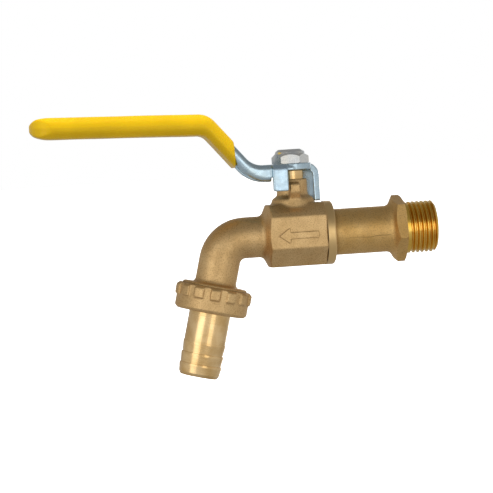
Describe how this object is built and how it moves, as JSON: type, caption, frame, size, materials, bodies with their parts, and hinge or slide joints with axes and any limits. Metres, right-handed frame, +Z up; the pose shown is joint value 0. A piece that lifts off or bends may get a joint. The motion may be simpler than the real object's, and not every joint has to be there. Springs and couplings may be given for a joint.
{
  "type": "hose bib",
  "caption": "Lever ball-valve hose bib in brass: a threaded inlet with a hex, a bent spout, and a union nut holding a barbed hose tail.",
  "frame": {"origin": "centre of the outer face of the hex, on the flow axis, where the inlet thread begins", "axes": "+X along the barrel to the inlet thread, +Z up the stem to the lever nut, +Y to the side the lever swings to when the valve closes"},
  "size_m": [0.1614, 0.031, 0.1091],
  "materials": {
    "forged_brass": "satin",
    "turned_brass": "polished",
    "chromed_brass": "polished",
    "ptfe": "matte",
    "nitrile": "matte",
    "zinc_steel": "satin",
    "yellow_vinyl": "satin",
    "nylon": "matte"
  },
  "bodies": {
    "body": {"valve_body": "forged_brass", "inlet_connector": "forged_brass", "body_seal_ring": "nitrile", "inlet_seat": "ptfe", "outlet_seat": "ptfe", "stem_thrust_washer": "ptfe"},
    "lever": {"stem": "turned_brass", "stem_ring_lower": "nitrile", "stem_ring_upper": "nitrile", "lever_plate": "zinc_steel", "lever_sleeve": "yellow_vinyl", "lever_nut": "zinc_steel", "lever_nut_insert": "nylon"},
    "ball": {"ball": "chromed_brass"},
    "union_gasket": {"hose_gasket": "nitrile"},
    "union_nut": {"hose_nut": "forged_brass"},
    "tail": {"hose_tail": "turned_brass"}
  },
  "joints": [
    {"name": "lever_turn", "type": "hinge", "parent": "body", "child": "lever", "pos_m": [-0.0444, 0, 0], "axis": [0, 0, 1], "range_deg": [-90, 0]},
    {"name": "ball_turn", "type": "hinge", "parent": "body", "child": "ball", "pos_m": [-0.0444, 0, 0], "axis": [0, 0, 1], "range_deg": [-90, 0]},
    {"name": "union_drop", "type": "slide", "parent": "body", "child": "union_gasket", "axis": [-0.2419, 0, -0.9703], "range_m": [0, 0.00408]},
    {"name": "union_turn", "type": "hinge", "parent": "union_gasket", "child": "union_nut", "pos_m": [-0.07901, 0, -0.02259], "axis": [-0.2419, 0, -0.9703], "range_deg": [0, 810]},
    {"name": "tail_swivel", "type": "hinge", "parent": "union_gasket", "child": "tail", "pos_m": [-0.07901, 0, -0.02259], "axis": [-0.2419, 0, -0.9703], "continuous": true}
  ],
  "couplings": [
    {"joint": "ball_turn", "follows": "lever_turn", "ratio": 1},
    {"joint": "union_turn", "follows": "union_drop", "rad_per_m": 3463.2}
  ]
}
